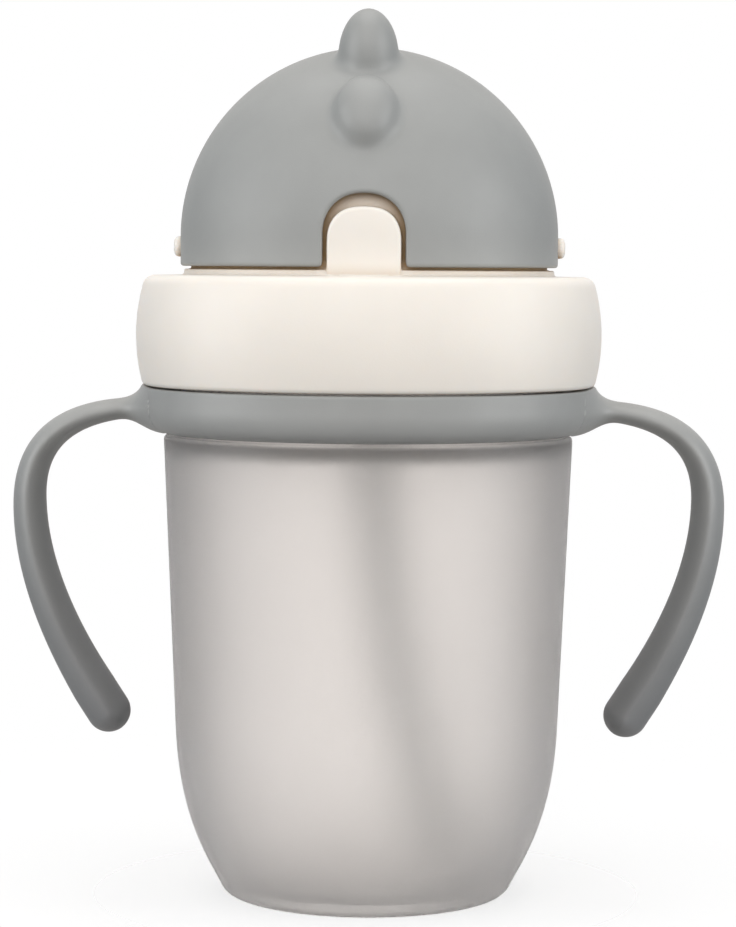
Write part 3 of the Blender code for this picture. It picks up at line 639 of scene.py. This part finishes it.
def make_cup():
    taper = (SHOULDER_R - BODY_LOW_R) / (SHOULDER_Z - BODY_LOW_Z)
    side = bezier(
        (BASE_R, BASE_Z),
        (BASE_R + BASE_PULL[0], BASE_Z + BASE_PULL[1]),
        (BODY_LOW_R - TAPER_PULL * taper, BODY_LOW_Z - TAPER_PULL),
        (BODY_LOW_R, BODY_LOW_Z),
        40,
    )
    floor_z = FOOT_RECESS + WALL
    inside = bezier(
        (FLOOR_R, floor_z),
        (FLOOR_PULL_R, floor_z),
        (BODY_LOW_R - WALL - INNER_PULL_IN, INNER_PULL_Z),
        (BODY_LOW_R - WALL, BODY_LOW_Z),
        32,
    )
    neck_r, rim = NECK_R - WALL / 2, RIM_Z - WALL / 2
    top, pull_top, pull_low, foot = (FOOT_RECESS_R + off for off in RECESS_EDGE)
    under_shoulder = SHOULDER_Z - SHOULDER_DROP
    seat_low, seat_top = SHOULDER_Z + NECK_FOOT_BEVEL, NECK_SEAT_Z + NECK_SEAT_BEVEL
    outline = np.vstack([
        line((0, FOOT_RECESS), (top, FOOT_RECESS), 12),
        bezier((top, FOOT_RECESS), (pull_top, FOOT_RECESS), (pull_low, 0), (foot, 0), 8),
        circle((FOOT_R, FOOT_ROUND), FOOT_ROUND, -90, -FOOT_ANGLE, 12),
        side[1:],
        line((BODY_LOW_R, BODY_LOW_Z), (SHOULDER_R, under_shoulder), 60)[1:],
        circle((SHOULDER_R - SHOULDER_ROUND, SHOULDER_Z - SHOULDER_ROUND), SHOULDER_ROUND, 0, 90, 6),
        line((NECK_SEAT_R + NECK_FOOT_BEVEL, SHOULDER_Z), (NECK_SEAT_R, seat_low), 3),
        line((NECK_SEAT_R, seat_low), (NECK_SEAT_R, NECK_SEAT_Z), 6),
        line((NECK_SEAT_R, NECK_SEAT_Z), (NECK_R, seat_top), 5),
        line((NECK_R, seat_top), (NECK_R, rim), 60),
        circle((neck_r, rim), WALL / 2, 0, 180, 10),
        line((NECK_BORE_R, rim - 0.4), (NECK_BORE_R, SHOULDER_Z + 2.0), 20),
        bezier(
            (NECK_BORE_R, SHOULDER_Z + 2.0),
            (NECK_BORE_R, under_shoulder),
            (SHOULDER_R - WALL, under_shoulder),
            (SHOULDER_R - WALL - 0.05, SHOULDER_Z - 4.0),
            12,
        ),
        line((SHOULDER_R - WALL - 0.1, SHOULDER_Z - 5.0), (BODY_LOW_R - WALL, BODY_LOW_Z), 50),
        inside[::-1],
        line((FLOOR_R - 0.5, floor_z), (0, floor_z), 12),
        [(0, floor_z)],
    ])

    def lift(x, y, z):
        rho = length(x, y)
        on_neck = (rho > neck_r) & (z > NECK_SEAT_Z)
        return np.where(on_neck, CUP_THREAD_HEIGHT * ridge(x, y, z, CUP_THREAD_Z), 0)

    steps = 240
    return finished(lathe("cup_frosted", outline, steps, lift=lift))


def make_tube():
    """The straw: a soft tube that sweeps down to the side, its end cut square."""
    straight = line((0, PORT_Y, TUBE_HIGH[2]), TUBE_ROUTE[0], 12)
    path = np.vstack([straight, bezier(*TUBE_ROUTE, 60)])
    along = np.gradient(path, axis=0)
    along /= np.linalg.norm(along, axis=1)[:, None]
    across = np.cross([0, 1, 0], along)
    across /= np.linalg.norm(across, axis=1)[:, None]
    other = np.cross(along, across)
    angles = (np.arange(TUBE_SIDES) * 2 * math.pi / TUBE_SIDES)[None, :, None]
    around = across[:, None] * np.cos(angles) + other[:, None] * np.sin(angles)
    outer = path[:, None] + around * TUBE_R
    inner = path[:, None] + around * TUBE_BORE_R
    return finished(grid_object("straw_silicone", np.concatenate([outer, inner[::-1]])))


def make_gasket():
    """A flat ring with a shallow groove round its inside and its outside."""
    inner, outer = LIP_R + GASKET_PLAY, SKIRT_BORE_R - GASKET_PLAY
    low, high = GASKET_LOW[2], GASKET_HIGH[2]
    half_way = (low + high) / 2
    below, above = half_way - GASKET_GROOVE_HALF, half_way + GASKET_GROOVE_HALF
    outline = [(inner, low), (outer, low), (outer, below), (outer - GASKET_GROOVE, half_way)]
    outline += [(outer, above), (outer, high), (inner, high), (inner, above)]
    outline += [(inner + GASKET_GROOVE, half_way), (inner, below)]
    return finished(lathe("gasket_silicone", rounded(outline, 0.45), 160))


def make_valve():
    low, high = VALVE_LOW[2], VALVE_HIGH[2]
    under = PLATEAU_Z - PLATEAU_THICK
    stem = VENT_HOLE_R - GAP
    corners = [(0.5, low), (1.2, low), (2.4, under - GAP), (stem, under - GAP), (stem, PLATEAU_Z + GAP)]
    corners += [(3.6, PLATEAU_Z + GAP), (3.5, high - 0.4), (2.2, high), (1.2, high - 0.5), (0.6, high - 0.5)]
    outline = np.vstack([[(0, low)], rounded(corners, 0.35)[2:-2], [(0, high - 0.5)]])
    return finished(lathe("valve_silicone", outline, 64, centre=(0, VENT_Y)))


cup = make_cup()
tube = make_tube()
gasket = make_gasket()
valve = make_valve()
ring = solid("handle_ring_moulded", ring_field, RING_LOW, RING_HIGH)
lid = solid("lid_moulded", lid_field, LID_LOW, LID_HIGH)
cover = solid("cover_moulded", cover_field, COVER_LOW, COVER_HIGH)
spout_base_high = (BASE_NODE_HIGH[0], BASE_NODE_HIGH[1], FLANGE_LOW_Z + 2)
spout_base = solid("spout_base", spout_base_field, BASE_NODE_LOW, spout_base_high, FINE)
spout_low = (min(TIP_NODE_LOW[0], -NECK_SPOUT_R - NECK_FOOT_REACH), TIP_NODE_LOW[1], FLANGE_LOW_Z)
spout_high = (-spout_low[0], PORT_Y + NECK_SPOUT_R + NECK_FOOT_REACH, TIP_NODE_HIGH[2])
spout = solid("spout_silicone", spout_field, spout_low, spout_high, FINE, own_normals=False)


# ---------------------------------------------------------------- materials


class Look:
    """A material and short ways to add nodes to it."""

    def __init__(self, name):
        self.material = bpy.data.materials.new(name)
        self.material.use_nodes = True
        self.tree = self.material.node_tree
        self.shader = self.tree.nodes["Principled BSDF"]
        self.place = self.tree.nodes.new("ShaderNodeTexCoord").outputs["Object"]

    def node(self, kind, **settings):
        made = self.tree.nodes.new("ShaderNode" + kind)
        for name, value in settings.items():
            setattr(made, name, value)
        return made

    def link(self, source, target):
        self.tree.links.new(source, target)

    def set(self, **values):
        for name, value in values.items():
            self.shader.inputs[name.replace("_", " ")].default_value = value

    def noise(self, scale, detail=2.0, rough=0.5):
        """Noise whose features are about 1 / scale metres across."""
        made = self.node("TexNoise")
        made.inputs["Scale"].default_value = scale
        made.inputs["Detail"].default_value = detail
        made.inputs["Roughness"].default_value = rough
        self.link(self.place, made.inputs["Vector"])
        return made.outputs["Fac"]

    def remap(self, value, from_low, from_high, to_low, to_high):
        made = self.node("MapRange")
        self.link(value, made.inputs["Value"])
        made.inputs["From Min"].default_value = from_low
        made.inputs["From Max"].default_value = from_high
        made.inputs["To Min"].default_value = to_low
        made.inputs["To Max"].default_value = to_high
        return made.outputs["Result"]

    def blend(self, share, low, high):
        """A colour between two others."""
        made = self.node("Mix", data_type="RGBA")
        self.link(share, made.inputs["Factor"])
        for name, colour in (("A", low), ("B", high)):
            socket = next(i for i in made.inputs if i.name == name and i.type == "RGBA")
            if isinstance(colour, bpy.types.NodeSocket):
                self.link(colour, socket)
            else:
                socket.default_value = (*colour, 1.0)
        return next(o for o in made.outputs if o.type == "RGBA")

    def relief(self, height, distance, strength=1.0, under=None):
        made = self.node("Bump")
        made.inputs["Strength"].default_value = strength
        made.inputs["Distance"].default_value = distance
        self.link(height, made.inputs["Height"])
        if under is not None:
            self.link(under, made.inputs["Normal"])
        return made.outputs["Normal"]

    def paint(self, colour):
        self.link(colour, self.shader.inputs["Base Color"])

    def mottle(self, colour, spread, scale):
        """The colour, varied a little from place to place."""
        low = tuple(c * (1 - spread) for c in colour)
        high = tuple(min(c * (1 + spread), 1.0) for c in colour)
        share = self.remap(self.noise(scale, 4.0), 0.3, 0.7, 0.0, 1.0)
        return self.blend(share, low, high)

    def satin(self, roughness, spread, grain, depth):
        """A fine moulded grain in the roughness and the relief, and a slow waviness under it."""
        fine = self.noise(grain, 3.0, 0.6)
        gloss = self.remap(fine, 0.25, 0.75, roughness - spread, roughness + spread)
        self.link(gloss, self.shader.inputs["Roughness"])
        waves = self.relief(self.noise(90.0, 1.0), 0.00012, 0.5)
        self.link(self.relief(fine, depth, 0.6, under=waves), self.shader.inputs["Normal"])


# Base colours, linear
GREY = 0.290, 0.296, 0.288
# Grip greys: the tip's is painted shade, darker than the root's.
GRIP_TIP_PAINTED_SHADE_GREY, GRIP_ROOT_GREY = (0.185, 0.188, 0.190), (0.305, 0.310, 0.302)
CREAM, AMBER_PAINTED_GAP_SHADE = (0.765, 0.725, 0.665), (0.40, 0.235, 0.085)
FROST = 0.972, 0.957, 0.944
MILKY = 0.86, 0.86, 0.84
# Within this reach, ambient occlusion paints amber shade into the cream plastic's gaps.
GAP_REACH = 0.005  # metres within which cream plastic is shaded by what is near


def grey_plastic():
    look = Look("grey_plastic")
    look.paint(look.mottle(GREY, spread=0.025, scale=130.0))
    look.satin(roughness=0.46, spread=0.07, grain=3800.0, depth=0.00003)
    look.set(IOR=1.46, Specular_IOR_Level=0.42)
    return look.material


def handle_plastic():
    """The same grey, painted darker down the grips towards their tips, as painted shade where less light
    falls.
    """
    look = Look("grey_with_painted_grip_shade")
    height = look.node("SeparateXYZ")
    look.link(look.place, height.inputs[0])
    # Painted shade: the grips blend from the darker tip grey up to the root grey.
    up = look.remap(height.outputs["Z"], GRIP_TIP.y * MM, GRIP_ROOT.y * MM, 0.0, 1.0)
    base = look.blend(up, GRIP_TIP_PAINTED_SHADE_GREY, GRIP_ROOT_GREY)
    share = look.remap(look.noise(130.0, 4.0), 0.3, 0.7, 0.94, 1.0)
    shaded = look.node("VectorMath", operation="SCALE")
    look.link(base, shaded.inputs[0])
    look.link(share, shaded.inputs["Scale"])
    look.paint(shaded.outputs["Vector"])
    look.satin(roughness=0.42, spread=0.07, grain=3800.0, depth=0.00003)
    look.set(IOR=1.46, Specular_IOR_Level=0.45)
    return look.material


def cream_plastic():
    """Cream with painted amber shade in deep gaps, found by ambient occlusion, standing in for the dim warm
    light that only reaches there through the plastic.
    """
    look = Look("cream_plastic")
    shade = look.node("AmbientOcclusion", samples=8)
    shade.inputs["Distance"].default_value = GAP_REACH
    # Painted shade: the cream turns amber where ambient occlusion finds near surfaces.
    painted_gap_shade = look.remap(shade.outputs["AO"], 0.15, 0.68, 1.0, 0.0)
    look.paint(look.blend(painted_gap_shade, look.mottle(CREAM, spread=0.012, scale=110.0), AMBER_PAINTED_GAP_SHADE))
    look.satin(roughness=0.42, spread=0.06, grain=3000.0, depth=0.00003)
    look.set(IOR=1.46, Specular_IOR_Level=0.4)
    look.set(Subsurface_Weight=0.25, Subsurface_Scale=0.002, Subsurface_Radius=(1.0, 0.8, 0.6))
    return look.material


def frosted_plastic():
    look = Look("frosted_plastic")
    look.paint(look.mottle(FROST, spread=0.01, scale=90.0))
    look.satin(roughness=0.5, spread=0.08, grain=2600.0, depth=0.00005)
    look.set(IOR=1.4, Transmission_Weight=0.95)
    return look.material


def silicone():
    look = Look("milky_silicone")
    look.paint(look.mottle(MILKY, spread=0.02, scale=150.0))
    look.satin(roughness=0.34, spread=0.06, grain=1900.0, depth=0.00002)
    look.set(IOR=1.41, Transmission_Weight=0.45)
    look.set(Subsurface_Weight=0.3, Subsurface_Scale=0.002, Subsurface_Radius=(1.0, 0.95, 0.9))
    return look.material


grey = grey_plastic()
grey_with_painted_grip_shade = handle_plastic()
cream = cream_plastic()
frosted = frosted_plastic()
clear = silicone()

PIECES = (
    (cup, frosted, "frosted_plastic", "cup", ("cup",)),
    (ring, grey_with_painted_grip_shade, "grey_plastic", "handle_ring", ("handle_ring",)),
    (lid, cream, "cream_plastic", "lid", ("lid",)),
    (cover, grey, "grey_plastic", "flip_cover", ("flip_cover",)),
    (tube, clear, "silicone", "lid", ("straw_tube",)),
    (gasket, clear, "silicone", "gasket", ("lid_gasket",)),
    (valve, clear, "silicone", "lid", ("vent_valve",)),
    (spout_base, clear, "silicone", "lid", ("mouthpiece_base",)),
)
for piece, look, slot, body, nodes in PIECES:
    piece.data.materials.append(look)
    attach(piece, body)
    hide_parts(*nodes)

spout.data.materials.append(clear)
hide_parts("mouthpiece_tip")
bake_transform(spout)


# ---------------------------------------------------------------- floor, light and camera


FLOOR_DISC_R = 1.6
FLOOR_FADE = 0.03, 0.2, 0.3, 0.0  # from 0.3 opaque near the foot to clear 0.2 m away


def make_floor():
    """A pale disc that fades out before its edge, so that no horizon shows."""
    bm = bmesh.new()
    bmesh.ops.create_circle(bm, cap_ends=True, segments=96, radius=FLOOR_DISC_R)
    mesh = bpy.data.meshes.new("floor")
    bm.to_mesh(mesh)
    bm.free()
    floor = bpy.data.objects.new("floor", mesh)
    bpy.context.scene.collection.objects.link(floor)
    look = Look("pale_floor")
    look.set(Base_Color=(0.93, 0.93, 0.93, 1.0), Roughness=0.9, Specular_IOR_Level=0.0)
    distance = look.node("VectorMath", operation="LENGTH")
    look.link(look.place, distance.inputs[0])
    look.link(look.remap(distance.outputs["Value"], *FLOOR_FADE), look.shader.inputs["Alpha"])
    mesh.materials.append(look.material)


# Share to the side, and the colour there. The dark sides are what darkens the frosted cup's edges in front.
WORLD_RAMP = (0.28, (1.0, 0.955, 0.925)), (0.82, (0.05, 0.09, 0.14))
WORLD_FALL = -0.55, 0.05, 0.38, 0.88  # strength from 0.38 well below the horizon to 0.88 at it


def make_world():
    """A white studio: bright in front and behind, dimmer and cooler to the sides, white where it is seen."""
    world = bpy.data.worlds.new("studio")
    world.use_nodes = True
    bpy.context.scene.world = world
    tree = world.node_tree
    tree.nodes.clear()
    place = tree.nodes.new("ShaderNodeTexCoord")
    split = tree.nodes.new("ShaderNodeSeparateXYZ")
    tree.links.new(place.outputs["Generated"], split.inputs[0])
    side = tree.nodes.new("ShaderNodeMath")
    side.operation = "ABSOLUTE"
    tree.links.new(split.outputs["X"], side.inputs[0])
    ramp = tree.nodes.new("ShaderNodeValToRGB")
    ramp.color_ramp.interpolation = "EASE"
    for element, (at, colour) in zip(ramp.color_ramp.elements, WORLD_RAMP):
        element.position = at
        element.color = (*colour, 1)
    tree.links.new(side.outputs[0], ramp.inputs[0])
    height = tree.nodes.new("ShaderNodeMapRange")
    tree.links.new(split.outputs["Z"], height.inputs["Value"])
    for name, value in zip(("From Min", "From Max", "To Min", "To Max"), WORLD_FALL):
        height.inputs[name].default_value = value
    lit = tree.nodes.new("ShaderNodeBackground")
    tree.links.new(ramp.outputs["Color"], lit.inputs["Color"])
    tree.links.new(height.outputs["Result"], lit.inputs["Strength"])
    seen = tree.nodes.new("ShaderNodeBackground")
    seen.inputs["Color"].default_value = (1, 1, 1, 1)
    path = tree.nodes.new("ShaderNodeLightPath")
    mix = tree.nodes.new("ShaderNodeMixShader")
    tree.links.new(path.outputs["Is Camera Ray"], mix.inputs[0])
    tree.links.new(lit.outputs[0], mix.inputs[1])
    tree.links.new(seen.outputs[0], mix.inputs[2])
    out = tree.nodes.new("ShaderNodeOutputWorld")
    tree.links.new(mix.outputs[0], out.inputs["Surface"])


AIM = (cad_box[0] + cad_box[1]) / 2
LAMPS = (  # name, place, size, watts
    ("key", (-0.35, -1.1, 0.75), (0.8, 0.8), 3.6),
    ("fill", (0.45, -1.1, 0.5), (0.8, 0.9), 2.6),
    ("top", (0.0, 0.1, 1.0), (0.8, 0.8), 3.0),
)
SIDE_LAMPS = (
    ("left_side", (-1.1, -0.35, 0.3), (0.8, 0.9), 8.5),
    ("right_side", (1.1, -0.35, 0.3), (0.8, 0.9), 8.5),
)
GLOW_LAMP = "behind", (0.0, 1.2, 0.1), (0.5, 0.9), 0.62, (1.0, 0.965, 0.94)


def softbox(name, place, size, power, colour=(1, 1, 1)):
    """An area light that faces the middle of the cup."""
    data = bpy.data.lights.new(name, "AREA")
    data.shape = "RECTANGLE"
    data.size, data.size_y = size
    data.energy = power
    data.color = colour
    lamp = bpy.data.objects.new(name, data)
    bpy.context.scene.collection.objects.link(lamp)
    lamp.location = place
    lamp.rotation_euler = (AIM - Vector(place)).to_track_quat("-Z", "Y").to_euler()
    return lamp


make_floor()
make_world()
for settings in LAMPS:
    softbox(*settings)
for settings in SIDE_LAMPS:
    lamp = softbox(*settings)
    lamp.visible_transmission = False  # keeps the frosted cup's edges dark
glow = softbox(*GLOW_LAMP)
glow.visible_diffuse = False  # it only shines through the frosted wall
glow.visible_glossy = False

# Camera: level with the lid, a little to the right, aimed down at the cup's middle
EYE_DISTANCE, EYE_Z = 0.562, 0.1159
EYE_AZIMUTH, EYE_PITCH, EYE_ROLL = (math.radians(a) for a in (1.6, -3.69, 0.36))
SENSOR_WIDTH, FOCAL_LENGTH = 36.0, 118.3
camera_data = bpy.data.cameras.new("camera")
camera_data.sensor_width = SENSOR_WIDTH
camera_data.lens = FOCAL_LENGTH
camera = bpy.data.objects.new("camera", camera_data)
bpy.context.scene.collection.objects.link(camera)
camera.location = (EYE_DISTANCE * math.sin(EYE_AZIMUTH), -EYE_DISTANCE * math.cos(EYE_AZIMUTH), EYE_Z)
turn = Matrix.Rotation(EYE_AZIMUTH, 4, "Z") @ Matrix.Rotation(math.pi / 2 + EYE_PITCH, 4, "X")
camera.rotation_euler = (turn @ Matrix.Rotation(EYE_ROLL, 4, "Z")).to_euler()
camera_data.clip_start, camera_data.clip_end = 0.01, 20.0
bpy.context.scene.camera = camera
bpy.context.scene.view_settings.view_transform = "Standard"
